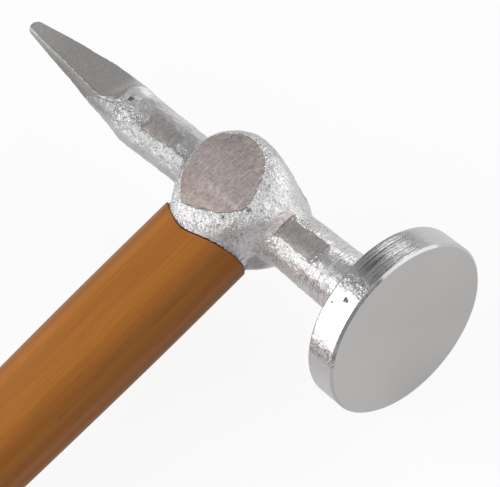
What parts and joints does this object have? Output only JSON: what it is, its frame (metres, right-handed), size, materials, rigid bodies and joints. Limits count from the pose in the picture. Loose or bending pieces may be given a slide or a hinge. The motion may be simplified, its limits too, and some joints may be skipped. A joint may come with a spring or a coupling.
{
  "type": "panel beating hammer",
  "caption": "Panel beating hammer with a flat round face on one side of its steel head, a tapered pick on the other, and an oval wooden handle wedged in the eye.",
  "frame": {"origin": "centre of the flat round striking face", "axes": "+X points out of the striking face along the head, +Y points along the handle towards the top of the head, +Z is the outward side of the upper cheek, so the tool lies on its side"},
  "size_m": [0.1339, 0.3232, 0.04],
  "materials": {
    "bright_steel": "bright rough casting with ground flats and a smooth turned face",
    "varnished_wood": "straight-grained wood under clear orange-brown varnish",
    "bare_wood": "bare sawn wood",
    "wedge_steel": "dull mild steel"
  },
  "bodies": {
    "root": {"hammer_head": "bright_steel", "handle": "varnished_wood", "wood_wedge": "bare_wood", "steel_wedge_front": "wedge_steel", "steel_wedge_rear": "wedge_steel"}
  },
  "joints": []
}
